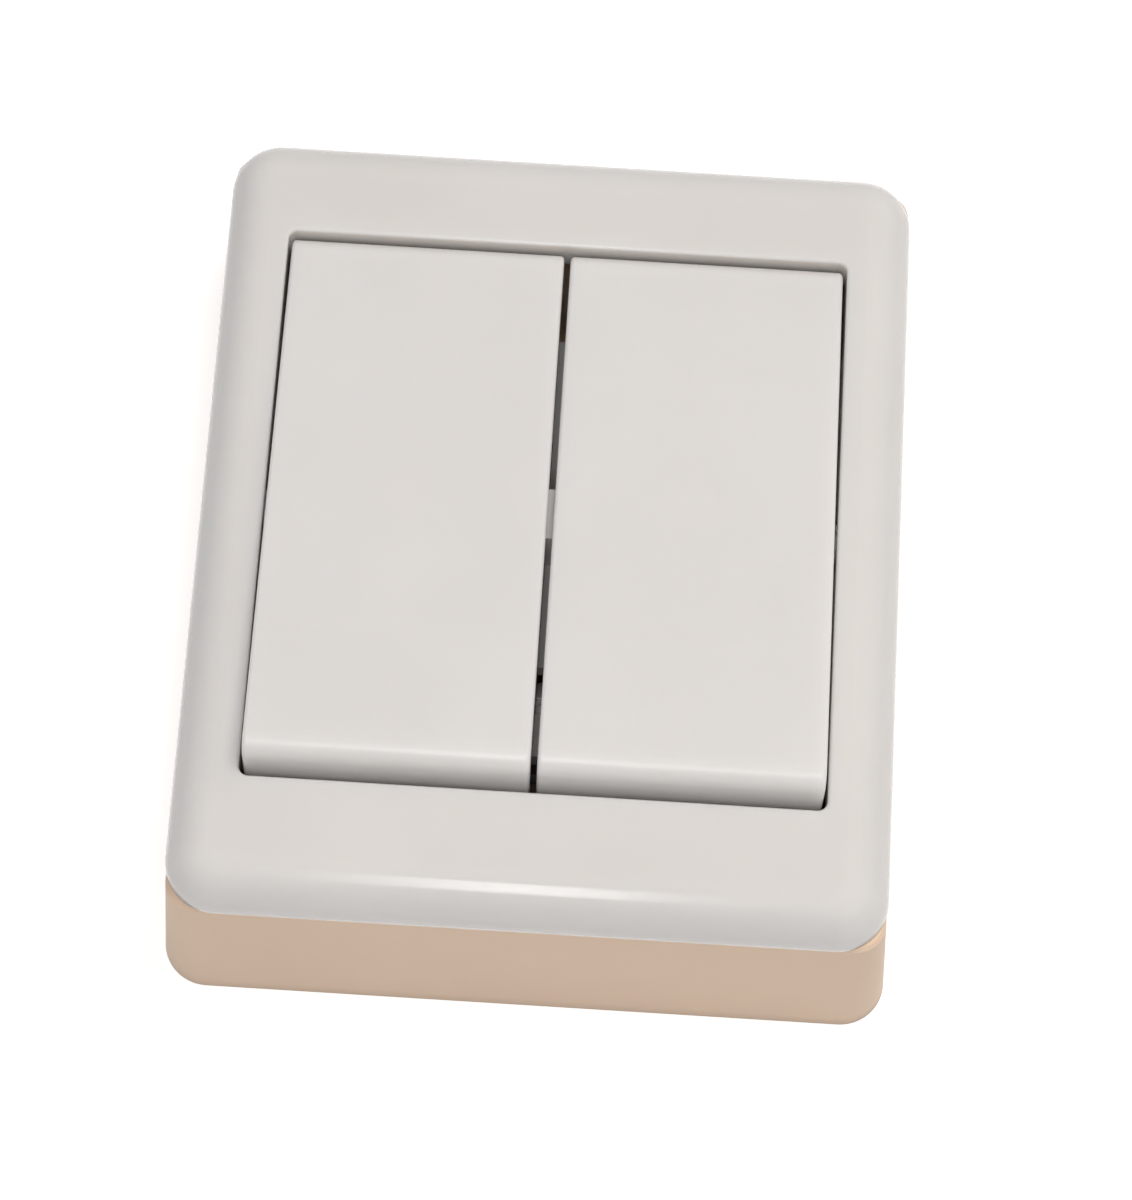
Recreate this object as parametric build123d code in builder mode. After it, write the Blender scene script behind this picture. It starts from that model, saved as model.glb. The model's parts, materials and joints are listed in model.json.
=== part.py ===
from build123d import *
from math import atan, cos, degrees, radians, sin
import os

# Surface-mounted light switch with two rocker keys side by side, in millimetres.
# The wall is the plane Y = 0 and the front faces -Y, so a depth is a distance from the wall
# towards the front. Z points up, and X points right as the user sees the switch.
# The keys are drawn at rest with their lower ends out and their upper ends in.

os.makedirs("parts", exist_ok=True)

# Box on the wall and the cover that snaps onto it
switch_width = 85.0
switch_height = 100.0
outer_corner = 6.2
box_depth = 25.0
box_inset = 0.2
box_flare = 1.9
box_corner = 3.6
box_wall = 2.2
box_floor = 2.2
seam_chamfer = 0.4
cover_depth = 6.0
cover_edge_round = 5.6
cover_wall = 2.4

# Rim and ledge of the box, and the hooks of the cover that catch under the ledge
rim_height = 1.5
rim_wall = 1.2
rim_clearance = 0.15
ledge_height = 3.0
hook_spread = 44.0
hook_width = 7.0
hook_thickness = 1.6
hook_catch = 0.8
hook_nose = 2.6
hook_clearance = 0.15

# Wall fixings and cable entries in the box
fixing_spread = 48.0
fixing_spacing = 76.0
fixing_slot_width = 4.4
fixing_slot_length = 9.0
fixing_pad_width = 13.0
fixing_pad_height = 0.8
cable_entry_radius = 7.0
cable_entry_drop = 36.0
cable_collar_wall = 1.5
cable_collar_height = 1.2
breakout_radius = 8.0
breakout_skin = 0.8
breakout_depth = 12.0

# Window in the cover
window_margin = 8.0
window_end_margin = 14.4
window_rise = 0.9
window_corner = 1.2
window_edge_round = 0.4
collar_wall = 1.2
collar_depth = 2.6

# Rocker keys
side_gap = 0.5
centre_gap = 0.8
end_gap = 0.8
key_half_travel = 4.0
pivot_sink = 4.0
key_rise = 6.4
key_face = 2.0
key_wall = 1.6
key_skirt = 9.5
key_end_round = 2.4
key_side_round = 0.5
key_rib = 1.2
key_rib_depth = 3.5

# Bearings of the keys in their frame
trunnion_radius = 1.0
bearing_clearance = 0.05
side_play = 0.4
ear_thickness = 2.2
ear_width = 4.6
ear_crown = 1.4
ear_notch_room = 0.6
post_thickness = 5.2
post_height = 6.4
post_crown = 3.3
post_room = 0.7
bearing_rib_length = 14.0

# Mechanism body and the frame that closes it
mechanism_back = 6.0
mechanism_depth = 13.0
mechanism_height = 52.0
mechanism_corner = 2.0
mechanism_floor = 1.5
end_wall = 1.5
cell_width = 9.1
cell_wall = 2.4
lug_offset = 3.5
lug_width = 10.0
lug_thickness = 2.5
pillar_radius = 4.0
frame_thickness = 2.5
frame_overhang = 1.0
frame_corner = 3.0
moving_room = 0.6

# Sprung plungers in the keys
nose_reach = 3.4
tube_wall = 1.2
plunger_radius = 2.2
plunger_clearance = 0.1
nose_flat = 0.6
plunger_length = 7.4
spigot_radius = 1.2
spigot_length = 2.5
tip_clearance = 0.3
spring_radius = 1.75
spring_wire = 0.25
spring_pitch = 2.4
spring_seat = 0.05

# Contact levers, terminals and contacts
lever_half_travel = 6.0
lever_thickness = 1.0
lever_width = 5.0
contact_margin = 2.2
lever_pin_radius = 0.6
lever_pin_length = 1.15
strip_thickness = 0.8
strip_width = 5.0
bridge_width = 4.0
cheek_thickness = 0.8
cheek_width = 3.8
cheek_crown = 0.9
cheek_gap = 0.25
contact_radius = 1.5
contact_stem_radius = 0.9
contact_fit = 0.05
moving_contact_head = 0.8
fixed_contact_head = 0.65
closed_gap = 0.3
block_room = 1.5
lever_room = 2.3
tail_excess = 1.0
tail_room = 2.0
block_width = 7.0
block_height = 7.0
block_depth = 7.0
wire_bore_radius = 1.4
wire_bore_rise = 3.0
wire_entry_radius = 1.9

# Screws
screw_radius = 1.5
thread_clearance = 0.05
screw_head_radius = 2.5
screw_head_height = 1.6
screw_slot_width = 0.8
screw_slot_depth = 0.8
terminal_screw_length = 4.2
terminal_screw_lift = 0.8
mechanism_screw_length = 6.4
frame_screw_length = 9.0
pilot_spare = 0.6
driver_room = 0.5

# Sizes that follow from the ones above
front_depth = box_depth + cover_depth
cover_ceiling = front_depth - cover_wall
pivot_depth = front_depth - pivot_sink
box_width = switch_width - 2 * box_inset
box_height = switch_height - 2 * box_inset
rim_inset = cover_wall + rim_clearance
rim_width = switch_width - 2 * rim_inset
rim_length = switch_height - 2 * rim_inset
rest_tilt = radians(key_half_travel)
lever_tilt = radians(lever_half_travel)
window_width = switch_width - 2 * window_margin
window_height = switch_height - 2 * window_end_margin
key_width = (window_width - 2 * side_gap - centre_gap) / 2
key_length = window_height - 2 * end_gap
key_centre = (centre_gap + key_width) / 2
key_outer_side = key_centre + key_width / 2
key_inner_side = key_centre - key_width / 2
key_ceiling = key_rise - key_face
key_skirt_end = key_rise - key_skirt
tube_radius = plunger_radius + plunger_clearance + tube_wall
bearing_radius = trunnion_radius + bearing_clearance
ear_inner_side = key_outer_side + side_play
bearing_rib_side = post_thickness / 2 + side_play
mechanism_front = mechanism_back + mechanism_depth
mechanism_width = 2 * (key_centre + cell_wall) + cell_width
lug_spacing = mechanism_width + 2 * lug_offset
frame_screw_spacing = key_centre
frame_height = mechanism_height + 2 * frame_overhang
frame_front = mechanism_front + frame_thickness
cell_floor = mechanism_back + mechanism_floor
cell_end = mechanism_height / 2 - end_wall
terminal_reach = cell_end - block_room - block_height / 2
contact_reach = terminal_reach - block_height / 2 - lever_room - contact_margin
lever_tail = contact_reach + tail_excess
cell_tail = lever_tail + tail_room
strip_front = cell_floor + strip_thickness
lever_axis_depth = (strip_front + fixed_contact_head + closed_gap + moving_contact_head
                    + lever_thickness / 2 + contact_reach * sin(lever_tilt))
tip_depth = lever_axis_depth + lever_thickness / 2 + tip_clearance
tip_height = tip_depth - pivot_depth
tube_foot = tip_height + nose_reach
plunger_top = tip_height + plunger_length
fixed_contact_z = contact_reach * cos(lever_tilt)
cheek_side = lever_width / 2 + cheek_gap
block_front = strip_front + block_depth

sides = (("left", -1), ("right", 1))


def wall_plane(depth):
    """Plane facing the front at a depth, centred on the switch."""
    return Plane.XZ.offset(depth)


def works_plane(depth):
    """Plane facing the front at a depth, centred on the window."""
    return Plane(origin=(0, -depth, window_rise), x_dir=(1, 0, 0), z_dir=(0, -1, 0))


def side_plane(across):
    """Plane facing +X at a place across the switch: its x is Y and its y is Z from the pivots."""
    return Plane(origin=(across, 0, window_rise), x_dir=(0, 1, 0), z_dir=(1, 0, 0))


def key_plane(height):
    """Plane parallel to a resting key's face, at a height in front of the pivot axis."""
    axes = Plane(
        origin=(0, -pivot_depth, window_rise),
        x_dir=(1, 0, 0),
        z_dir=(0, -cos(rest_tilt), sin(rest_tilt)),
    )
    return axes.offset(height)


def key_section(across):
    """Plane through a resting key's plunger axis: its x is X and its y points to the key's face."""
    middle = key_plane(0)
    return Plane(origin=middle.from_local_coords((across, 0, 0)), x_dir=(1, 0, 0), z_dir=-middle.y_dir)


def lever_plane(height):
    """Plane parallel to a resting contact lever, at a height in front of its axis."""
    axes = Plane(
        origin=(0, -lever_axis_depth, window_rise),
        x_dir=(1, 0, 0),
        z_dir=(0, -cos(lever_tilt), -sin(lever_tilt)),
    )
    return axes.offset(height)


def save(piece, name):
    """Label a finished piece and write it to its own file."""
    piece.part.label = name
    export_step(piece.part, f"parts/{name}.step")


# Cover: one shell with a fully rounded front edge, the window, its collar and four snap hooks
def hook_outline(level):
    """Side view of a hook that reaches down inside the ledge, with its catch turned outwards."""
    back = switch_height / 2 - rim_inset - rim_wall - hook_clearance
    catch_depth = box_depth - ledge_height - hook_clearance
    inner = back - hook_thickness
    return [
        (-cover_ceiling - cover_wall / 2, level * inner),
        (-cover_ceiling - cover_wall / 2, level * back),
        (-catch_depth, level * back),
        (-catch_depth, level * (back + hook_catch)),
        (-catch_depth + hook_nose, level * back),
        (-catch_depth + hook_nose, level * inner),
    ]


with BuildPart() as front_cover:
    with BuildSketch(wall_plane(box_depth)):
        RectangleRounded(switch_width, switch_height, outer_corner)
    extrude(amount=cover_depth)
    fillet(front_cover.faces().sort_by(Axis.Y)[0].edges(), radius=cover_edge_round)
    with BuildSketch(wall_plane(box_depth)):
        RectangleRounded(
            switch_width - 2 * cover_wall, switch_height - 2 * cover_wall, outer_corner - cover_wall
        )
    extrude(amount=cover_depth - cover_wall, mode=Mode.SUBTRACT)
    with BuildSketch(works_plane(cover_ceiling)):
        RectangleRounded(
            window_width + 2 * collar_wall, window_height + 2 * collar_wall, window_corner + collar_wall
        )
        Rectangle(window_width + 4 * collar_wall, ear_width + 2 * ear_notch_room, mode=Mode.SUBTRACT)
    extrude(amount=-collar_depth)
    with BuildSketch(works_plane(front_depth)):
        RectangleRounded(window_width, window_height, window_corner)
    extrude(amount=-(cover_wall + collar_depth), mode=Mode.SUBTRACT)
    front_face = front_cover.faces().filter_by(Axis.Y).sort_by(Axis.Y)[0]
    fillet(front_face.inner_wires()[0].edges(), radius=window_edge_round)
    for across in (-hook_spread / 2, hook_spread / 2):
        for level in (-1, 1):
            with BuildSketch(Plane.YZ.offset(across)):
                with BuildLine():
                    Polyline(*hook_outline(level), close=True)
                make_face()
            extrude(amount=hook_width / 2, both=True)
save(front_cover, "front_cover")


# Box: an open tray that flares towards the wall, with the ledge and rim that locate the cover
with BuildPart() as back_box:
    with BuildSketch(wall_plane(0)):
        RectangleRounded(box_width + 2 * box_flare, box_height + 2 * box_flare, box_corner + box_flare)
    extrude(amount=box_depth, taper=degrees(atan(box_flare / box_depth)))
    with BuildSketch(wall_plane(box_floor)):
        RectangleRounded(box_width - 2 * box_wall, box_height - 2 * box_wall, box_corner - box_wall)
    extrude(amount=box_depth - box_floor, mode=Mode.SUBTRACT)
    rim_corner = outer_corner - rim_inset
    with BuildSketch(wall_plane(box_depth - ledge_height)):
        RectangleRounded(box_width - box_wall, box_height - box_wall, box_corner - box_wall / 2)
        RectangleRounded(
            rim_width - 2 * rim_wall, rim_length - 2 * rim_wall, rim_corner - rim_wall, mode=Mode.SUBTRACT
        )
    extrude(amount=ledge_height)
    with BuildSketch(wall_plane(box_depth)):
        RectangleRounded(rim_width, rim_length, rim_corner)
        RectangleRounded(
            rim_width - 2 * rim_wall, rim_length - 2 * rim_wall, rim_corner - rim_wall, mode=Mode.SUBTRACT
        )
    extrude(amount=rim_height)
    seam_face = back_box.faces().filter_by(Axis.Y).sort_by(Axis.Y)[1]
    chamfer(seam_face.outer_wire().edges(), length=seam_chamfer)

    # Pillars for the mechanism, with blind pilot holes
    with BuildSketch(works_plane(box_floor)):
        with GridLocations(lug_spacing, 0, 2, 1):
            Circle(pillar_radius)
    extrude(amount=mechanism_back - box_floor)
    with BuildSketch(works_plane(mechanism_back)):
        with GridLocations(lug_spacing, 0, 2, 1):
            Circle(screw_radius + thread_clearance)
    extrude(amount=-(mechanism_screw_length - lug_thickness + pilot_spare), mode=Mode.SUBTRACT)

    # Slotted wall fixings on raised pads
    with BuildSketch(wall_plane(box_floor)):
        with GridLocations(fixing_spread, fixing_spacing, 2, 2):
            Rectangle(fixing_pad_width, fixing_pad_width)
    extrude(amount=fixing_pad_height)
    with BuildSketch(wall_plane(box_floor + fixing_pad_height)):
        with GridLocations(fixing_spread, fixing_spacing, 2, 2):
            SlotOverall(fixing_slot_length, fixing_slot_width)
    extrude(amount=-(box_floor + fixing_pad_height), mode=Mode.SUBTRACT)

    # Rear cable entry with a low collar, and the thin breakout inside the top wall
    with BuildSketch(wall_plane(box_floor)):
        with Locations((0, -cable_entry_drop)):
            Circle(cable_entry_radius + cable_collar_wall)
    extrude(amount=cable_collar_height)
    with BuildSketch(wall_plane(box_floor + cable_collar_height)):
        with Locations((0, -cable_entry_drop)):
            Circle(cable_entry_radius)
    extrude(amount=-(box_floor + cable_collar_height), mode=Mode.SUBTRACT)
    flare_there = box_flare * (1 - (breakout_depth + breakout_radius) / box_depth)
    with BuildSketch(Plane.XY.offset(box_height / 2 - box_wall)):
        with Locations((0, -breakout_depth)):
            Circle(breakout_radius)
    extrude(amount=box_wall + flare_there - breakout_skin, mode=Mode.SUBTRACT)
save(back_box, "back_box")


# Mechanism body: a moulded block with a cell for each lever and one for the common terminal
with BuildPart() as mechanism_body:
    with BuildSketch(works_plane(mechanism_back)):
        RectangleRounded(mechanism_width, mechanism_height, mechanism_corner)
    extrude(amount=mechanism_depth)
    with BuildSketch(works_plane(mechanism_back)):
        SlotOverall(lug_spacing + lug_width, lug_width)
    extrude(amount=lug_thickness)
    with BuildSketch(works_plane(cell_floor)):
        with Locations((-key_centre, (cell_end - cell_tail) / 2), (key_centre, (cell_end - cell_tail) / 2)):
            Rectangle(cell_width, cell_end + cell_tail)
        with Locations((0, -(cell_end + bridge_width / 2) / 2)):
            Rectangle(cell_width, cell_end - bridge_width / 2)
    extrude(amount=mechanism_front - cell_floor, mode=Mode.SUBTRACT)
    with BuildSketch(works_plane(cell_floor)):
        Rectangle(2 * key_centre, bridge_width + 2 * contact_fit)
    extrude(amount=strip_thickness + contact_fit, mode=Mode.SUBTRACT)
    with BuildSketch(works_plane(mechanism_front)):
        with GridLocations(frame_screw_spacing, 0, 2, 1):
            Circle(screw_radius + thread_clearance)
    extrude(amount=-(frame_screw_length - frame_thickness + pilot_spare), mode=Mode.SUBTRACT)
    with BuildSketch(works_plane(mechanism_back)):
        with GridLocations(lug_spacing, 0, 2, 1):
            Circle(screw_radius + thread_clearance)
    extrude(amount=lug_thickness, mode=Mode.SUBTRACT)

    # Wire entries: the outputs from above and the common from below
    for across, level in ((-key_centre, 1), (key_centre, 1), (0, -1)):
        with BuildSketch(Plane.XY.offset(window_rise + level * cell_end)):
            with Locations((across, -(strip_front + wire_bore_rise))):
                Circle(wire_entry_radius)
        extrude(amount=level * end_wall, mode=Mode.SUBTRACT)
save(mechanism_body, "mechanism_body")


# Key frame: a plate that closes the mechanism and carries the bearings of both keys
with BuildPart() as key_frame:
    with BuildSketch(works_plane(mechanism_front)):
        RectangleRounded(2 * (ear_inner_side + ear_thickness), frame_height, frame_corner)
        slot_width = 2 * (tube_radius + moving_room)
        slot_height = slot_width + 2 * (pivot_depth - mechanism_front) * sin(rest_tilt)
        with GridLocations(2 * key_centre, 0, 2, 1):
            Rectangle(slot_width, slot_height, mode=Mode.SUBTRACT)
        with GridLocations(lug_spacing, 0, 2, 1):
            Circle(screw_head_radius + driver_room, mode=Mode.SUBTRACT)
        with GridLocations(frame_screw_spacing, 0, 2, 1):
            Circle(screw_radius + thread_clearance, mode=Mode.SUBTRACT)
        driver_opening = 2 * (screw_head_radius + driver_room)
        with Locations((-key_centre, terminal_reach), (key_centre, terminal_reach), (0, -terminal_reach)):
            Rectangle(driver_opening, driver_opening, mode=Mode.SUBTRACT)
    extrude(amount=frame_thickness)
    with BuildSketch(works_plane(frame_front)):
        Rectangle(post_thickness, post_height)
    extrude(amount=pivot_depth + post_crown - frame_front)
    ear_front = pivot_depth + ear_crown
    ear_back = mechanism_front + frame_thickness / 2
    for name, sign in sides:
        with BuildSketch(side_plane(sign * ear_inner_side)):
            with BuildLine():
                Polyline(
                    (-ear_back, -ear_width / 2),
                    (-pivot_depth, -ear_width / 2),
                    (-ear_front, -ear_width / 3),
                    (-ear_front, ear_width / 3),
                    (-pivot_depth, ear_width / 2),
                    (-ear_back, ear_width / 2),
                    close=True,
                )
            make_face()
        extrude(amount=sign * ear_thickness)
    with BuildSketch(side_plane(0)):
        with Locations((-pivot_depth, 0)):
            Circle(bearing_radius)
    extrude(amount=switch_width / 2, both=True, mode=Mode.SUBTRACT)

    # Snap throats, a little narrower than the trunnions, let the keys click in from the front
    for name, sign in sides:
        with BuildSketch(side_plane(sign * ear_inner_side)):
            with Locations((-pivot_depth - ear_crown, 0)):
                Rectangle(2 * ear_crown, 2 * trunnion_radius - 4 * bearing_clearance)
        extrude(amount=sign * ear_thickness, mode=Mode.SUBTRACT)
save(key_frame, "key_frame")


# Rocker keys: thin caps with skirts, ribs, stub trunnions and the tube for the plunger
def rocker_key(sign):
    """Build one key at rest. The sign tells the side of the switch it lies on."""
    middle = sign * key_centre
    skirt_room = key_width - 2 * key_wall
    with BuildPart() as key:
        with BuildSketch(key_plane(key_skirt_end)):
            with Locations((middle, 0)):
                Rectangle(key_width, key_length)
        extrude(amount=key_skirt)
        top = key.faces().sort_by(Axis.Y)[0]
        fillet(top.edges().filter_by(Axis.X), radius=key_end_round)
        top = key.faces().filter_by(GeomType.PLANE).sort_by(Axis.Y)[0]
        fillet(top.edges().filter_by(Axis.X, reverse=True), radius=key_side_round)
        with BuildSketch(key_plane(key_skirt_end)):
            with Locations((middle, 0)):
                Rectangle(skirt_room, key_length - 2 * key_wall)
        extrude(amount=key_skirt - key_face, mode=Mode.SUBTRACT)

        # Stiffening ribs under the face, crossing at the tube
        with BuildSketch(key_plane(key_ceiling)):
            with Locations((middle, 0)):
                Rectangle(key_rib, key_length - key_wall)
                with GridLocations(0, key_length / 2, 1, 2):
                    Rectangle(key_width - key_wall, key_rib)
        extrude(amount=-key_rib_depth)

        # The inner skirt opens round the centre post, and a rib behind it carries the trunnion
        with BuildSketch(key_plane(key_ceiling)):
            with Locations((sign * (key_inner_side + key_wall / 2), 0)):
                Rectangle(key_wall + centre_gap, post_height + 2 * post_room)
        extrude(amount=key_skirt_end - key_ceiling, mode=Mode.SUBTRACT)
        with BuildSketch(key_plane(key_ceiling)):
            with Locations((sign * (bearing_rib_side + key_wall / 2), 0)):
                Rectangle(key_wall, bearing_rib_length)
        extrude(amount=key_skirt_end - key_ceiling)
        trunnion_reach = side_play + ear_thickness - side_play / 2
        for start, direction in ((sign * key_outer_side, sign), (sign * bearing_rib_side, -sign)):
            with BuildSketch(side_plane(start)):
                with Locations((-pivot_depth, 0)):
                    Circle(trunnion_radius)
            extrude(amount=direction * trunnion_reach)

        # Tube for the spring and the plunger
        with BuildSketch(key_plane(tube_foot)):
            with Locations((middle, 0)):
                Circle(tube_radius)
        extrude(amount=key_ceiling - (tube_foot))
        with BuildSketch(key_plane(tube_foot)):
            with Locations((middle, 0)):
                Circle(plunger_radius + plunger_clearance)
        extrude(amount=key_ceiling - (tube_foot) - key_rib, mode=Mode.SUBTRACT)
    return key


def plunger(sign):
    """Build the pointed pin that slides in a key's tube."""
    section = key_section(sign * key_centre)
    with BuildPart() as pin:
        with BuildSketch(section):
            with BuildLine():
                Polyline(
                    (0, tip_height),
                    (nose_flat, tip_height),
                    (plunger_radius, tip_height + plunger_radius - nose_flat),
                    (plunger_radius, plunger_top),
                    (spigot_radius, plunger_top),
                    (spigot_radius, plunger_top + spigot_length),
                    (0, plunger_top + spigot_length),
                    close=True,
                )
            make_face()
        revolve(axis=Axis(section.origin, section.y_dir))
    return pin


def plunger_spring(sign):
    """Build the coil spring between a plunger's shoulder and the closed end of the tube."""
    section = key_section(sign * key_centre)
    start = plunger_top + spring_wire + spring_seat
    end = key_ceiling - key_rib - spring_wire - spring_seat
    with BuildPart() as coil:
        with BuildLine() as path:
            Helix(
                pitch=spring_pitch,
                height=end - start,
                radius=spring_radius,
                center=section.from_local_coords((0, start, 0)),
                direction=section.y_dir,
            )
        with BuildSketch(Plane(origin=path.line @ 0, z_dir=path.line % 0)):
            RegularPolygon(radius=spring_wire, side_count=4)
        sweep(path=path.line, is_frenet=True)
    return coil


for name, sign in sides:
    save(rocker_key(sign), f"{name}_rocker")
    save(plunger(sign), f"{name}_plunger")
    save(plunger_spring(sign), f"{name}_plunger_spring")


# Contact levers: stamped see-saws with side pins, each with a riveted contact at its upper end
def contact_lever(sign):
    """Build one lever at rest, with its upper end out."""
    middle = sign * key_centre
    length = lever_tail + contact_reach + contact_margin
    with BuildPart() as lever:
        with BuildSketch(lever_plane(-lever_thickness / 2)):
            with Locations((middle, (contact_reach + contact_margin - lever_tail) / 2)):
                RectangleRounded(lever_width, length, lever_width / 4)
            with Locations((middle, contact_reach)):
                Circle(contact_stem_radius + contact_fit, mode=Mode.SUBTRACT)
        extrude(amount=lever_thickness)
        with BuildSketch(side_plane(middle)):
            with Locations((-lever_axis_depth, 0)):
                Circle(lever_pin_radius)
        extrude(amount=lever_width / 2 + lever_pin_length, both=True)
    return lever


def moving_contact(sign):
    """Build the contact rivet of a lever: its head faces the wall."""
    with BuildPart() as rivet:
        for start, radius, amount in (
            (lever_thickness / 2, contact_stem_radius, -lever_thickness),
            (-lever_thickness / 2, contact_radius, -moving_contact_head),
        ):
            with BuildSketch(lever_plane(start)):
                with Locations((sign * key_centre, contact_reach)):
                    Circle(radius)
            extrude(amount=amount)
    return rivet


def fixed_contact(sign):
    """Build the contact rivet of an output terminal: its head faces the lever."""
    with BuildPart() as rivet:
        for start, radius, amount in (
            (cell_floor, contact_stem_radius, strip_thickness),
            (strip_front, contact_radius, fixed_contact_head),
        ):
            with BuildSketch(works_plane(start)):
                with Locations((sign * key_centre, fixed_contact_z)):
                    Circle(radius)
            extrude(amount=amount)
    return rivet


def output_terminal(sign):
    """Build the flat strip from a fixed contact to its terminal block."""
    lower = fixed_contact_z - strip_width / 2
    upper = terminal_reach + block_height / 2
    with BuildPart() as strip:
        with BuildSketch(works_plane(cell_floor)):
            with Locations((sign * key_centre, (lower + upper) / 2)):
                Rectangle(strip_width, upper - lower)
            with Locations((sign * key_centre, fixed_contact_z)):
                Circle(contact_stem_radius + contact_fit, mode=Mode.SUBTRACT)
        extrude(amount=strip_thickness)
    return strip


def terminal_block(across, level):
    """Build the block that clamps a wire: a bore along Z meets the screw hole from the front."""
    middle = level * terminal_reach
    with BuildPart() as block:
        with BuildSketch(works_plane(strip_front)):
            with Locations((across, middle)):
                Rectangle(block_width, block_height)
        extrude(amount=block_depth)
        with BuildSketch(Plane.XY.offset(window_rise + middle - block_height / 2)):
            with Locations((across, -(strip_front + wire_bore_rise))):
                Circle(wire_bore_radius)
        extrude(amount=block_height, mode=Mode.SUBTRACT)
        with BuildSketch(works_plane(block_front)):
            with Locations((across, middle)):
                Circle(screw_radius + thread_clearance)
        extrude(amount=-(block_depth - wire_bore_rise), mode=Mode.SUBTRACT)
    return block


for name, sign in sides:
    save(contact_lever(sign), f"{name}_contact_lever")
    save(moving_contact(sign), f"{name}_moving_contact")
    save(fixed_contact(sign), f"{name}_fixed_contact")
    save(output_terminal(sign), f"{name}_output_terminal")
    save(terminal_block(sign * key_centre, 1), f"{name}_terminal_block")
save(terminal_block(0, -1), "common_terminal_block")


# Common terminal: one strip under both levers, with a pair of notched cheeks for each lever
with BuildPart() as common_terminal:
    bridge_length = 2 * (key_centre + cheek_side + cheek_thickness)
    leg_length = terminal_reach + block_height / 2
    with BuildSketch(works_plane(cell_floor)):
        Rectangle(bridge_length, bridge_width)
        with Locations((0, -leg_length / 2)):
            Rectangle(strip_width, leg_length)
    extrude(amount=strip_thickness)
    cheek_front = lever_axis_depth + cheek_crown
    for middle in (-key_centre, key_centre):
        for start, direction in ((middle - cheek_side, -1), (middle + cheek_side, 1)):
            with BuildSketch(side_plane(start)):
                with Locations((-(cell_floor + cheek_front) / 2, 0)):
                    Rectangle(cheek_front - cell_floor, cheek_width)
                with Locations((-lever_axis_depth, 0)):
                    Circle(lever_pin_radius + bearing_clearance, mode=Mode.SUBTRACT)
                with Locations((-lever_axis_depth - cheek_crown, 0)):
                    Rectangle(
                        2 * cheek_crown, 2 * (lever_pin_radius + bearing_clearance), mode=Mode.SUBTRACT
                    )
            extrude(amount=direction * cheek_thickness)
save(common_terminal, "common_terminal")


# Screws: one group for each job, all with slotted cheese heads
def screws(places, seat_depth, length):
    """Build a group of like screws whose heads sit on the plane at the seat depth."""
    with BuildPart() as group:
        with BuildSketch(works_plane(seat_depth)):
            with Locations(*places):
                Circle(screw_head_radius)
        extrude(amount=screw_head_height)
        with BuildSketch(works_plane(seat_depth)):
            with Locations(*places):
                Circle(screw_radius)
        extrude(amount=-length)
        with BuildSketch(works_plane(seat_depth + screw_head_height)):
            with Locations(*places):
                Rectangle(2 * screw_head_radius, screw_slot_width)
        extrude(amount=-screw_slot_depth, mode=Mode.SUBTRACT)
    return group


terminal_places = [(-key_centre, terminal_reach), (key_centre, terminal_reach), (0, -terminal_reach)]
lug_places = [(-lug_spacing / 2, 0), (lug_spacing / 2, 0)]
frame_places = [(-frame_screw_spacing / 2, 0), (frame_screw_spacing / 2, 0)]
save(screws(terminal_places, block_front + terminal_screw_lift, terminal_screw_length), "terminal_screws")
save(screws(lug_places, mechanism_back + lug_thickness, mechanism_screw_length), "mechanism_screws")
save(screws(frame_places, frame_front, frame_screw_length), "frame_screws")
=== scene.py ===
import json
from math import cos, radians, sin

import bpy
from bpy.props import FloatProperty, FloatVectorProperty, PointerProperty
from mathutils import Matrix, Vector


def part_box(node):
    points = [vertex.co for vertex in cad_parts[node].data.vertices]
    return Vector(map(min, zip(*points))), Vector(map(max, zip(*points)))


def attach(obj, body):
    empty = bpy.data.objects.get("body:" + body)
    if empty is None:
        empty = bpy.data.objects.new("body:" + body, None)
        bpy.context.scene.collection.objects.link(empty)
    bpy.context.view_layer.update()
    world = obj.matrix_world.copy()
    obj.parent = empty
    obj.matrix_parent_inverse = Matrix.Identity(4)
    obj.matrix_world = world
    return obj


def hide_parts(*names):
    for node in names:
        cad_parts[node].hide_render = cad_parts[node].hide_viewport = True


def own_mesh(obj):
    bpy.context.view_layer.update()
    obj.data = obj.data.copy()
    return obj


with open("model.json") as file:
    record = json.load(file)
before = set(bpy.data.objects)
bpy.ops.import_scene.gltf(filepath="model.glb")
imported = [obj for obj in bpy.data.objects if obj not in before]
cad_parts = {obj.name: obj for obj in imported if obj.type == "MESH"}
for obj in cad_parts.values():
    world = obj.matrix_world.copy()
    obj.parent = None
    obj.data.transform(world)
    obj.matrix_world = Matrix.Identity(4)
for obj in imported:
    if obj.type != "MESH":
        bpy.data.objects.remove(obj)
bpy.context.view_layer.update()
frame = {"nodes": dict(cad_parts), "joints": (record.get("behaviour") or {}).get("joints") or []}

bl_info = {
    "name": "Surface Light Switch",
    "version": (1, 0, 0),
    "blender": (4, 5, 0),
    "location": "3D View > Sidebar > Light Switch",
    "description": "Dresses a surface-mounted light switch with two rocker keys",
    "category": "Object",
}

# Lengths are in metres, in the switch's own frame: the wall is the plane Y = 0 and the user
# stands on the side of -Y.
SIDES = ("left", "right")
SCREW_GROUPS = ("terminal_screws", "mechanism_screws", "frame_screws")

# How finely round forms are cut
HEAD_POINTS = 64
SHANK_POINTS = 48
WIRE_POINTS = 12
THREAD_POINTS = 4
STEPS_PER_TURN = 36
HEAD_EDGE_SEGMENTS = 3
POINT_SEGMENTS = 2

# Points closer than this are one
MERGE_DISTANCE = 0.000001

# Edges below these angles, in degrees, are shaded smooth
SCREW_EDGE = 35
WIRE_EDGE = 60

# Part of its range that a noise mostly stays in
NOISE_LOW, NOISE_HIGH = 0.3, 0.7

# Long side of the camera's sensor, in millimetres
SENSOR_WIDTH = 36.0

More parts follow.
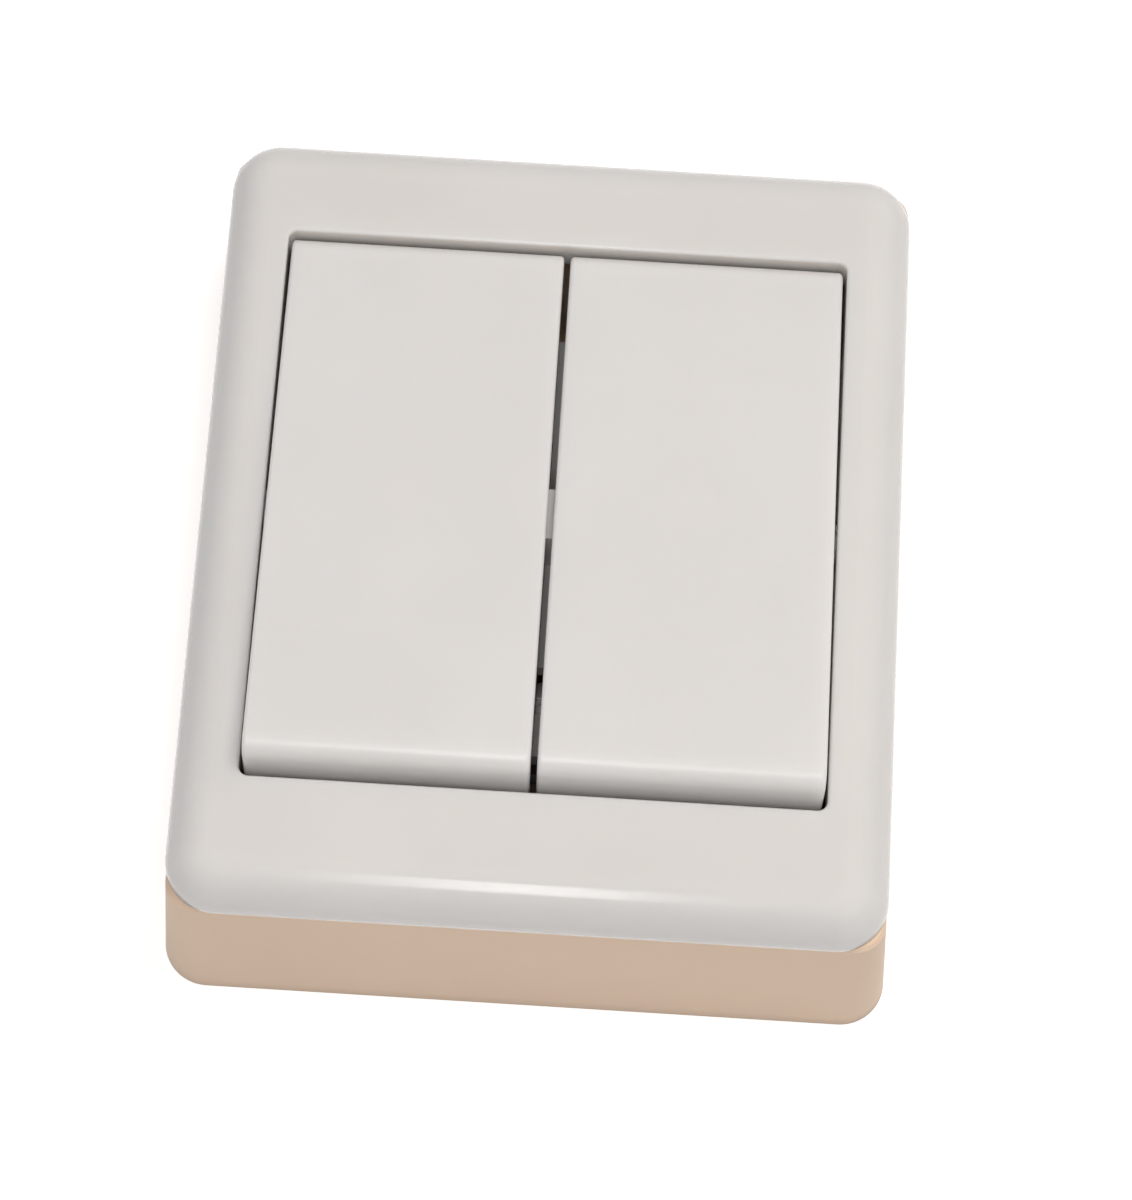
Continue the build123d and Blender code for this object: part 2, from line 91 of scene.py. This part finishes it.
# Each lamp's place, the sides of its panel, its power in watts and its colour. All face the
# origin. Only the strip shows in the gloss, as the highlight along the lower edges.
LAMPS = {
    "front_fill": ((0.13, -0.56, 0.08), (0.2, 0.2), 1.3, (1.0, 0.985, 0.97)),
    "low_fill": ((-0.03, -0.48, -0.21), (0.16, 0.16), 0.35, (1.0, 0.985, 0.985)),
    "right_lamp": ((0.9, -0.7, 0.6), (0.5, 0.5), 1.4, (1.0, 0.86, 0.73)),
    "rear_lamp": ((-0.6, 0.9, 0.5), (0.5, 0.5), 6.0, (1.0, 1.0, 1.0)),
    "strip_lamp": ((-0.0075, -0.47, -0.26), (0.05, 0.2), 0.44, (0.97, 0.985, 1.0)),
}
SHINING_LAMP = "strip_lamp"


class SwitchStage(bpy.types.PropertyGroup):
    """Camera, even light and backdrop."""

    camera_distance: FloatProperty(
        name="Camera distance",
        description="From the point on the wall that the camera aims at",
        default=0.5031,
        unit="LENGTH",
    )
    camera_elevation: FloatProperty(
        name="Camera elevation",
        description="Above the horizon, so a negative angle looks up at the switch",
        default=-0.3761,
        subtype="ANGLE",
    )
    camera_azimuth: FloatProperty(
        name="Camera azimuth",
        description="Towards the user's right of the switch",
        default=0.0067,
        subtype="ANGLE",
    )
    camera_roll: FloatProperty(
        name="Camera roll",
        description="How far the camera leans round its own axis",
        default=0.0639,
        subtype="ANGLE",
    )
    aim: FloatVectorProperty(
        name="Aim",
        description="Point on the wall at the middle of the picture",
        default=(0.00228, 0.0, 0.00187),
        subtype="XYZ",
        unit="LENGTH",
    )
    focal_length: FloatProperty(
        name="Focal length",
        description="In millimetres, on a sensor 36 mm on its long side",
        default=118.44,
    )
    near_limit: FloatProperty(
        name="Near limit",
        description="Distance at which the camera starts to see",
        default=0.01,
        unit="LENGTH",
    )
    backdrop_size: FloatProperty(
        name="Backdrop size",
        description="Side of the wall panel",
        default=1.2,
        unit="LENGTH",
    )
    backdrop_gap: FloatProperty(
        name="Backdrop gap",
        description="Between the back of the box and the wall panel",
        default=0.0002,
        unit="LENGTH",
    )
    contact_reach: FloatProperty(
        name="Contact reach",
        description="How near to the wall panel a surface gets light through it",
        default=0.002,
        unit="LENGTH",
    )
    backdrop_paint: FloatVectorProperty(
        name="Backdrop paint",
        description="Colour of the wall panel",
        default=(0.88, 0.88, 0.88),
        subtype="COLOR",
    )
    backdrop_glow: FloatProperty(
        name="Backdrop glow",
        description="Share of white that the wall panel shows besides its paint",
        default=0.5,
        subtype="FACTOR",
    )
    studio_colour: FloatVectorProperty(
        name="Studio colour",
        description="Colour of the even light",
        default=(0.985, 0.99, 1.0),
        subtype="COLOR",
    )
    studio_light: FloatProperty(
        name="Studio light",
        description="Strength of the even light",
        default=0.3,
        subtype="FACTOR",
    )


class SwitchScrews(bpy.types.PropertyGroup):
    """Sizes shared by all the slotted screws."""

    head_radius: FloatProperty(
        name="Head radius", description="Of the cheese head", default=0.0025, unit="LENGTH"
    )
    head_height: FloatProperty(
        name="Head height", description="Of the cheese head", default=0.0016, unit="LENGTH"
    )
    head_edge: FloatProperty(
        name="Head edge", description="Rounding of the rims", default=0.00015, unit="LENGTH"
    )
    slot_width: FloatProperty(
        name="Slot width", description="For a flat driver", default=0.0008, unit="LENGTH"
    )
    slot_depth: FloatProperty(
        name="Slot depth", description="From the top of the head", default=0.0008, unit="LENGTH"
    )
    thread_radius: FloatProperty(
        name="Thread radius", description="At the crests", default=0.0015, unit="LENGTH"
    )
    thread_height: FloatProperty(
        name="Thread height", description="From root to crest", default=0.0003, unit="LENGTH"
    )
    thread_pitch: FloatProperty(
        name="Thread pitch", description="From crest to crest", default=0.0005, unit="LENGTH"
    )


class SwitchSprings(bpy.types.PropertyGroup):
    """Sizes of the plungers' springs."""

    coil_radius: FloatProperty(
        name="Coil radius", description="To the wire's middle", default=0.00175, unit="LENGTH"
    )
    wire_radius: FloatProperty(
        name="Wire radius", description="Of the round wire", default=0.00022, unit="LENGTH"
    )
    turns: FloatProperty(name="Turns", description="Over the spring's length", default=4.0)


class SwitchFinish(bpy.types.PropertyGroup):
    """Colours of the plastics and metals, as linear values."""

    cover: FloatVectorProperty(
        name="Cover",
        description="White of the cover",
        default=(0.735, 0.705, 0.68),
        subtype="COLOR",
    )
    key: FloatVectorProperty(
        name="Keys",
        description="White of the rocker keys",
        default=(0.755, 0.725, 0.70),
        subtype="COLOR",
    )
    box: FloatVectorProperty(
        name="Box",
        description="Beige of the box",
        default=(0.795, 0.598, 0.445),
        subtype="COLOR",
    )
    works: FloatVectorProperty(
        name="Mechanism",
        description="Grey of the mechanism body",
        default=(0.09, 0.09, 0.095),
        subtype="COLOR",
    )
    nylon: FloatVectorProperty(
        name="Plungers",
        description="Natural nylon",
        default=(0.72, 0.70, 0.62),
        subtype="COLOR",
    )
    brass: FloatVectorProperty(
        name="Brass",
        description="Strips and levers",
        default=(0.70, 0.50, 0.20),
        subtype="COLOR",
    )
    silver: FloatVectorProperty(
        name="Contacts",
        description="Silver rivets",
        default=(0.75, 0.74, 0.71),
        subtype="COLOR",
    )
    steel: FloatVectorProperty(
        name="Steel",
        description="Plated screws and springs",
        default=(0.52, 0.52, 0.53),
        subtype="COLOR",
    )


# Materials
def new_material(name):
    """Make a material with an empty tree and a Principled shader, and return its parts."""
    material = bpy.data.materials.new(name)
    material.use_nodes = True
    tree = material.node_tree
    tree.nodes.clear()
    output = tree.nodes.new("ShaderNodeOutputMaterial")
    shader = tree.nodes.new("ShaderNodeBsdfPrincipled")
    tree.links.new(shader.outputs["BSDF"], output.inputs["Surface"])
    return material, tree, shader


def object_noise(tree, scale, detail, roughness=0.5):
    """Add a noise on the object's own coordinates."""
    place = tree.nodes.new("ShaderNodeTexCoord")
    noise = tree.nodes.new("ShaderNodeTexNoise")
    noise.inputs["Scale"].default_value = scale
    noise.inputs["Detail"].default_value = detail
    noise.inputs["Roughness"].default_value = roughness
    tree.links.new(place.outputs["Object"], noise.inputs["Vector"])
    return noise


def ramp_between(tree, factor, low, high, start=NOISE_LOW, end=NOISE_HIGH):
    """Add a ramp from one colour to another over part of a factor's range."""
    ramp = tree.nodes.new("ShaderNodeValToRGB")
    ramp.color_ramp.elements[0].position = start
    ramp.color_ramp.elements[0].color = (*low, 1.0)
    ramp.color_ramp.elements[1].position = end
    ramp.color_ramp.elements[1].color = (*high, 1.0)
    tree.links.new(factor, ramp.inputs["Fac"])
    return ramp


def uneven_roughness(tree, shader, factor, roughness, spread):
    """Let a shader's roughness vary by a share either way."""
    reach = tree.nodes.new("ShaderNodeMapRange")
    reach.inputs["From Min"].default_value = NOISE_LOW
    reach.inputs["From Max"].default_value = NOISE_HIGH
    reach.inputs["To Min"].default_value = roughness * (1 - spread)
    reach.inputs["To Max"].default_value = roughness * (1 + spread)
    tree.links.new(factor, reach.inputs["Value"])
    tree.links.new(reach.outputs["Result"], shader.inputs["Roughness"])


def add_bump(tree, shader, height, strength, distance):
    """Give a shader a bump from a height."""
    bump = tree.nodes.new("ShaderNodeBump")
    bump.inputs["Strength"].default_value = strength
    bump.inputs["Distance"].default_value = distance
    tree.links.new(height, bump.inputs["Height"])
    tree.links.new(bump.outputs["Normal"], shader.inputs["Normal"])


def shade(colour, amount):
    """Darken or lighten a colour by a factor."""
    return tuple(min(1.0, channel * amount) for channel in colour)


def moulded_plastic(
    name, colour, roughness, grain, grain_height, tone=0.985, see_in=0.0, shine=0.5
):
    """Make moulded plastic: faintly uneven in tone, with a fine grain from the mould.

    The grain is a scale per metre, and see_in is how deep light goes in.
    """
    material, tree, shader = new_material(name)
    shader.inputs["IOR"].default_value = 1.5
    shader.inputs["Specular IOR Level"].default_value = shine
    if see_in:
        shader.inputs["Subsurface Weight"].default_value = 1.0
        shader.inputs["Subsurface Radius"].default_value = (1.0, 0.9, 0.8)
        shader.inputs["Subsurface Scale"].default_value = see_in
    cloud = object_noise(tree, scale=45.0, detail=2.0)
    ramp = ramp_between(tree, cloud.outputs["Fac"], shade(colour, tone), shade(colour, 2 - tone))
    tree.links.new(ramp.outputs["Color"], shader.inputs["Base Color"])
    fine = object_noise(tree, scale=grain, detail=3.0, roughness=0.6)
    uneven_roughness(tree, shader, fine.outputs["Fac"], roughness, spread=0.08)
    add_bump(tree, shader, fine.outputs["Fac"], strength=0.25, distance=grain_height)
    return material


def worked_metal(name, colour, roughness, marks, tarnish):
    """Make metal with rolling or turning marks and a little tarnish.

    The marks are a scale per metre for each axis, and tarnish is the shade of the stains.
    """
    material, tree, shader = new_material(name)
    shader.inputs["Metallic"].default_value = 1.0
    place = tree.nodes.new("ShaderNodeTexCoord")
    mapping = tree.nodes.new("ShaderNodeMapping")
    mapping.inputs["Scale"].default_value = marks
    lines = tree.nodes.new("ShaderNodeTexNoise")
    lines.inputs["Scale"].default_value = 1.0
    lines.inputs["Detail"].default_value = 4.0
    tree.links.new(place.outputs["Object"], mapping.inputs["Vector"])
    tree.links.new(mapping.outputs["Vector"], lines.inputs["Vector"])
    stain = object_noise(tree, scale=260.0, detail=3.0)
    ramp = ramp_between(
        tree, stain.outputs["Fac"], shade(colour, tarnish), colour, start=0.35, end=0.6
    )
    tree.links.new(ramp.outputs["Color"], shader.inputs["Base Color"])
    uneven_roughness(tree, shader, lines.outputs["Fac"], roughness, spread=0.25)
    add_bump(tree, shader, lines.outputs["Fac"], strength=0.2, distance=0.00003)
    return material


def dress(node_names, material):
    """Give CAD nodes a material in place of the one they were packed with."""
    for name in node_names:
        slots = frame["nodes"][name].data.materials
        slots.clear()
        slots.append(material)


# Stage
def background_rays(tree):
    """Tell the rays that show the background: direct ones, reflections and those through glass."""
    path = tree.nodes.new("ShaderNodeLightPath")
    total = path.outputs["Is Camera Ray"]
    for kind in ("Is Glossy Ray", "Is Transmission Ray"):
        either = tree.nodes.new("ShaderNodeMath")
        either.operation = "MAXIMUM"
        tree.links.new(total, either.inputs[0])
        tree.links.new(path.outputs[kind], either.inputs[1])
        total = either.outputs["Value"]
    return total


def mix_shaders(tree, factor, first, second):
    """Mix two shaders by a factor and return the result."""
    mix = tree.nodes.new("ShaderNodeMixShader")
    tree.links.new(factor, mix.inputs["Fac"])
    tree.links.new(first, mix.inputs[1])
    tree.links.new(second, mix.inputs[2])
    return mix.outputs["Shader"]


def wall_material(name, tone, glow_strength, contact_reach):
    """Make a pale wall that stays white and keeps a soft shadow.

    It can't be seen from behind, and where the switch lies on it, light from behind comes through.
    """
    material = bpy.data.materials.new(name)
    material.use_nodes = True
    tree = material.node_tree
    tree.nodes.clear()
    output = tree.nodes.new("ShaderNodeOutputMaterial")
    paint = tree.nodes.new("ShaderNodeBsdfDiffuse")
    paint.inputs["Color"].default_value = (*tone, 1.0)
    glow = tree.nodes.new("ShaderNodeEmission")
    glow.inputs["Strength"].default_value = glow_strength
    both = tree.nodes.new("ShaderNodeAddShader")
    tree.links.new(paint.outputs["BSDF"], both.inputs[0])
    tree.links.new(glow.outputs["Emission"], both.inputs[1])
    front = mix_shaders(
        tree, background_rays(tree), paint.outputs["BSDF"], both.outputs["Shader"]
    )
    path = tree.nodes.new("ShaderNodeLightPath")
    close = tree.nodes.new("ShaderNodeMath")
    close.operation = "LESS_THAN"
    close.inputs[1].default_value = contact_reach
    tree.links.new(path.outputs["Ray Length"], close.inputs[0])
    geometry = tree.nodes.new("ShaderNodeNewGeometry")
    open_to_light = tree.nodes.new("ShaderNodeMath")
    open_to_light.operation = "MAXIMUM"
    tree.links.new(close.outputs["Value"], open_to_light.inputs[0])
    tree.links.new(geometry.outputs["Backfacing"], open_to_light.inputs[1])
    clear = tree.nodes.new("ShaderNodeBsdfTransparent")
    wall = mix_shaders(tree, open_to_light.outputs["Value"], front, clear.outputs["BSDF"])
    tree.links.new(wall, output.inputs["Surface"])
    return material


def plain_world(colour, strength):
    """Set up even studio light that shows as plain white behind the switch."""
    world = bpy.data.worlds.new("studio_world")
    bpy.context.scene.world = world
    world.use_nodes = True
    tree = world.node_tree
    tree.nodes.clear()
    output = tree.nodes.new("ShaderNodeOutputWorld")
    light = tree.nodes.new("ShaderNodeBackground")
    light.inputs["Color"].default_value = (*colour, 1.0)
    light.inputs["Strength"].default_value = strength
    white = tree.nodes.new("ShaderNodeBackground")
    white.inputs["Color"].default_value = (1.0, 1.0, 1.0, 1.0)
    sky = mix_shaders(
        tree, background_rays(tree), light.outputs["Background"], white.outputs["Background"]
    )
    tree.links.new(sky, output.inputs["Surface"])


def add_lamp(name, place, size, power, colour):
    """Add an area lamp that faces the origin."""
    bpy.ops.object.light_add(type="AREA", location=place)
    lamp = bpy.context.object
    lamp.name = name
    lamp.rotation_euler = (-Vector(place)).to_track_quat("-Z", "Y").to_euler()
    lamp.data.shape = "RECTANGLE"
    lamp.data.size, lamp.data.size_y = size
    lamp.data.energy = power
    lamp.data.color = colour
    lamp.visible_glossy = name == SHINING_LAMP


def add_camera(stage):
    """Add the camera at the photograph's viewing angle."""
    azimuth, elevation = stage.camera_azimuth, stage.camera_elevation
    back = Vector(
        (sin(azimuth) * cos(elevation), -cos(azimuth) * cos(elevation), sin(elevation))
    )
    across = (-back).cross(Vector((0, 0, 1))).normalized()
    upright = across.cross(-back)
    roll = stage.camera_roll
    side = across * cos(roll) + upright * sin(roll)
    top = upright * cos(roll) - across * sin(roll)
    turn = Matrix((side, top, back)).transposed().to_4x4()
    bpy.ops.object.camera_add()
    camera = bpy.context.object
    camera.name = "camera"
    place = Vector(stage.aim) + back * stage.camera_distance
    camera.matrix_world = Matrix.Translation(place) @ turn
    camera.data.lens = stage.focal_length
    camera.data.sensor_width = SENSOR_WIDTH
    camera.data.clip_start = stage.near_limit
    return camera


# Small metal pieces that stand in for their plain CAD solids
def deselect():
    """Leave nothing selected."""
    bpy.ops.object.select_all(action="DESELECT")


def select_only(piece):
    """Select one piece and make it the active one."""
    deselect()
    piece.select_set(True)
    bpy.context.view_layer.objects.active = piece


def apply_modifiers(piece):
    """Apply all modifiers of a piece in order."""
    bpy.context.view_layer.objects.active = piece
    for modifier in list(piece.modifiers):
        bpy.ops.object.modifier_apply(modifier=modifier.name)


def apply_place(piece):
    """Move a piece's place and turn into its mesh."""
    select_only(piece)
    bpy.ops.object.transform_apply(location=True, rotation=True, scale=True)


def close_and_face_out(piece):
    """Merge doubles, fill open ends and turn every face outwards."""
    select_only(piece)
    bpy.ops.object.mode_set(mode="EDIT")
    bpy.ops.mesh.select_all(action="SELECT")
    bpy.ops.mesh.remove_doubles(threshold=MERGE_DISTANCE)
    bpy.ops.mesh.fill_holes(sides=0)
    bpy.ops.mesh.normals_make_consistent(inside=False)
    bpy.ops.object.mode_set(mode="OBJECT")


def join_pieces(name, pieces):
    """Join pieces into one under a plain name."""
    deselect()
    for piece in pieces:
        piece.select_set(True)
    bpy.context.view_layer.objects.active = pieces[0]
    if len(pieces) > 1:
        bpy.ops.object.join()
    pieces[0].name = name
    return pieces[0]


def smooth(piece, edge_angle):
    """Shade a piece smooth, apart from edges sharper than an angle in degrees."""
    select_only(piece)
    bpy.ops.object.shade_smooth_by_angle(angle=radians(edge_angle))


def wind(name, section_radius, section_points, reach, pitch, turns, start):
    """Wind a round section into a coil round the Z axis."""
    deselect()
    bpy.ops.mesh.primitive_circle_add(
        vertices=section_points,
        radius=section_radius,
        location=(reach, 0.0, start),
        rotation=(radians(90), 0.0, 0.0),
    )
    coil = bpy.context.object
    coil.name = name
    apply_place(coil)
    winding = coil.modifiers.new("winding", "SCREW")
    winding.axis = "Z"
    winding.angle = radians(360 * turns)
    winding.screw_offset = pitch * turns
    winding.steps = round(STEPS_PER_TURN * turns)
    winding.render_steps = winding.steps
    apply_modifiers(coil)
    close_and_face_out(coil)
    return coil


def slotted_head(sizes):
    """Model a cheese head with a driver slot, standing on the plane Z = 0."""
    deselect()
    bpy.ops.mesh.primitive_cylinder_add(
        vertices=HEAD_POINTS,
        radius=sizes.head_radius,
        depth=sizes.head_height,
        location=(0.0, 0.0, sizes.head_height / 2),
    )
    head = bpy.context.object
    apply_place(head)
    deselect()
    bpy.ops.mesh.primitive_cube_add(size=1.0, location=(0.0, 0.0, sizes.head_height))
    cutter = bpy.context.object
    cutter.scale = (3 * sizes.head_radius, sizes.slot_width, 2 * sizes.slot_depth)
    apply_place(cutter)
    slot = head.modifiers.new("slot", "BOOLEAN")
    slot.object = cutter
    slot.operation = "DIFFERENCE"
    slot.solver = "EXACT"
    rim = head.modifiers.new("rim", "BEVEL")
    rim.width = sizes.head_edge
    rim.segments = HEAD_EDGE_SEGMENTS
    rim.limit_method = "ANGLE"
    apply_modifiers(head)
    bpy.data.objects.remove(cutter)
    return head


def slotted_screw(name, length, sizes):
    """Model a cheese-head screw with a rolled thread: its seat is the plane Z = 0."""
    head = slotted_head(sizes)
    deselect()
    core_radius = sizes.thread_radius - sizes.thread_height
    bpy.ops.mesh.primitive_cylinder_add(
        vertices=SHANK_POINTS,
        radius=core_radius,
        depth=length,
        location=(0.0, 0.0, -length / 2),
    )
    core = bpy.context.object
    point = core.modifiers.new("point", "BEVEL")
    point.width = core_radius / 3
    point.segments = POINT_SEGMENTS
    apply_modifiers(core)
    apply_place(core)
    thread = wind(
        f"{name}_thread",
        section_radius=sizes.thread_height,
        section_points=THREAD_POINTS,
        reach=core_radius,
        pitch=sizes.thread_pitch,
        turns=(length - 2 * sizes.thread_pitch) / sizes.thread_pitch,
        start=-length + sizes.thread_pitch,
    )
    screw = join_pieces(name, [head, core, thread])
    apply_place(screw)
    smooth(screw, SCREW_EDGE)
    return screw


def set_copies(name, model, places, depth):
    """Copy a screw to its places, with its head towards the front, and join the copies."""
    copies = []
    for across, level in places:
        select_only(model)
        bpy.ops.object.duplicate(linked=False)
        screw = bpy.context.object
        screw.rotation_euler = (radians(90), 0.0, 0.0)
        screw.location = (across, -depth, level)
        apply_place(screw)
        copies.append(screw)
    return join_pieces(name, copies)


class SWITCH_OT_screws(bpy.types.Operator):
    """Model the slotted screws of the terminals, the mechanism and the key frame"""

    bl_idname = "switch.screws"
    bl_label = "Screws"

    def execute(self, context):
        sizes = context.scene.switch_screws
        for node in SCREW_GROUPS:
            low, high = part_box(node)
            seat = -low.y - sizes.head_height
            across = high.x - sizes.head_radius
            upper = high.z - sizes.head_radius
            lower = low.z + sizes.head_radius
            places = [(-across, upper), (across, upper)]
            # The terminals have a third screw, in the middle and lower down
            if upper - lower > sizes.head_radius:
                places.append((0.0, lower))
            model = slotted_screw("screw_model", seat + high.y, sizes)
            group = set_copies(f"slotted_{node}", model, places, seat)
            bpy.data.objects.remove(model)
            group.data.materials.clear()
            group.data.materials.append(bpy.data.materials["plated_steel"])
            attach(group, "housing")
            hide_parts(node)
        return {"FINISHED"}


class SWITCH_OT_springs(bpy.types.Operator):
    """Wind the plungers' springs from round wire"""

    bl_idname = "switch.springs"
    bl_label = "Springs"

    def execute(self, context):
        sizes = context.scene.switch_springs
        for side in SIDES:
            node = f"{side}_plunger_spring"
            slide = next(j for j in frame["joints"] if j["name"] == f"{side}_plunger_slide")
            way = Vector(slide["axis"])
            low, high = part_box(node)
            middle = (low + high) / 2
            # The leaning coil's rim takes part of the node's depth
            rim = 2 * (sizes.coil_radius + sizes.wire_radius) * abs(way.z)
            length = (high.y - low.y - rim) / abs(way.y) - 2 * sizes.wire_radius
            coil = wind(
                f"round_{node}",
                section_radius=sizes.wire_radius,
                section_points=WIRE_POINTS,
                reach=sizes.coil_radius,
                pitch=length / sizes.turns,
                turns=sizes.turns,
                start=-length / 2,
            )
            coil.rotation_euler = way.to_track_quat("Z", "X").to_euler()
            coil.location = middle
            apply_place(coil)
            smooth(coil, WIRE_EDGE)
            coil.data.materials.append(bpy.data.materials["plated_steel"])
            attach(coil, f"{side}_key")
            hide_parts(node)
            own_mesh(coil)
        return {"FINISHED"}


class SWITCH_OT_stage(bpy.types.Operator):
    """Set up the backdrop, the lamps and the camera"""

    bl_idname = "switch.stage"
    bl_label = "Stage"

    def execute(self, context):
        stage = context.scene.switch_stage
        deselect()
        bpy.ops.mesh.primitive_plane_add(
            size=stage.backdrop_size,
            location=(0.0, stage.backdrop_gap, 0.0),
            rotation=(radians(90), 0.0, 0.0),
        )
        backdrop = context.object
        backdrop.name = "backdrop"
        paint = wall_material(
            "backdrop_paint", stage.backdrop_paint, stage.backdrop_glow, stage.contact_reach
        )
        backdrop.data.materials.append(paint)
        plain_world(stage.studio_colour, stage.studio_light)
        for name, settings in LAMPS.items():
            add_lamp(name, *settings)
        context.scene.camera = add_camera(stage)
        context.scene.view_settings.view_transform = "Standard"
        return {"FINISHED"}


class SWITCH_OT_finishes(bpy.types.Operator):
    """Give every piece of the frame its finish"""

    bl_idname = "switch.finishes"
    bl_label = "Finishes"

    def execute(self, context):
        finish = context.scene.switch_finish
        cover = moulded_plastic(
            "cover_plastic",
            finish.cover,
            roughness=0.15,
            grain=3200.0,
            grain_height=0.000003,
            see_in=0.003,
            shine=0.3,
        )
        dress(["front_cover"], cover)
        key = moulded_plastic(
            "key_plastic",
            finish.key,
            roughness=0.33,
            grain=3200.0,
            grain_height=0.000003,
            see_in=0.003,
            shine=0.6,
        )
        dress([f"{side}_rocker" for side in SIDES], key)
        box = moulded_plastic(
            "box_plastic",
            finish.box,
            roughness=0.5,
            grain=1800.0,
            grain_height=0.00003,
            tone=0.98,
            shine=0.2,
        )
        dress(["back_box"], box)
        key_frame = moulded_plastic(
            "frame_plastic", finish.cover, roughness=0.45, grain=2200.0, grain_height=0.00002
        )
        dress(["key_frame"], key_frame)
        works = moulded_plastic(
            "works_plastic",
            finish.works,
            roughness=0.55,
            grain=1500.0,
            grain_height=0.00004,
            tone=0.93,
        )
        dress(["mechanism_body"], works)
        nylon = moulded_plastic(
            "nylon", finish.nylon, roughness=0.4, grain=3000.0, grain_height=0.00001
        )
        dress([f"{side}_plunger" for side in SIDES], nylon)
        brass = worked_metal(
            "brass_strip", finish.brass, roughness=0.32, marks=(300.0, 300.0, 4000.0), tarnish=0.8
        )
        dress([f"{side}_contact_lever" for side in SIDES], brass)
        dress([f"{side}_output_terminal" for side in SIDES] + ["common_terminal"], brass)
        block = worked_metal(
            "brass_block", finish.brass, roughness=0.26, marks=(3500.0, 300.0, 300.0), tarnish=0.88
        )
        dress([f"{place}_terminal_block" for place in (*SIDES, "common")], block)
        silver = worked_metal(
            "contact_silver", finish.silver, roughness=0.38, marks=(900.0, 900.0, 900.0), tarnish=0.85
        )
        dress([f"{s}_{kind}_contact" for s in SIDES for kind in ("moving", "fixed")], silver)
        steel = worked_metal(
            "plated_steel", finish.steel, roughness=0.3, marks=(500.0, 3000.0, 500.0), tarnish=0.9
        )
        dress(SCREW_GROUPS, steel)
        dress([f"{side}_plunger_spring" for side in SIDES], steel)
        return {"FINISHED"}


class SWITCH_PT_panel(bpy.types.Panel):
    """Lists the steps that dress the switch"""

    bl_label = "Light Switch"
    bl_idname = "SWITCH_PT_panel"
    bl_space_type = "VIEW_3D"
    bl_region_type = "UI"
    bl_category = "Light Switch"

    def draw(self, context):
        for operator in OPERATORS:
            self.layout.operator(operator.bl_idname)


OPERATORS = (SWITCH_OT_finishes, SWITCH_OT_screws, SWITCH_OT_springs, SWITCH_OT_stage)
CLASSES = (SwitchStage, SwitchScrews, SwitchSprings, SwitchFinish, *OPERATORS, SWITCH_PT_panel)


def register():
    for kind in CLASSES:
        bpy.utils.register_class(kind)
    bpy.types.Scene.switch_stage = PointerProperty(type=SwitchStage)
    bpy.types.Scene.switch_screws = PointerProperty(type=SwitchScrews)
    bpy.types.Scene.switch_springs = PointerProperty(type=SwitchSprings)
    bpy.types.Scene.switch_finish = PointerProperty(type=SwitchFinish)


def unregister():
    del bpy.types.Scene.switch_finish
    del bpy.types.Scene.switch_springs
    del bpy.types.Scene.switch_screws
    del bpy.types.Scene.switch_stage
    for kind in reversed(CLASSES):
        bpy.utils.unregister_class(kind)


def main():
    """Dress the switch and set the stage."""
    register()
    bpy.ops.switch.finishes()
    bpy.ops.switch.screws()
    bpy.ops.switch.springs()
    bpy.ops.switch.stage()


if __name__ == "__main__":
    main()
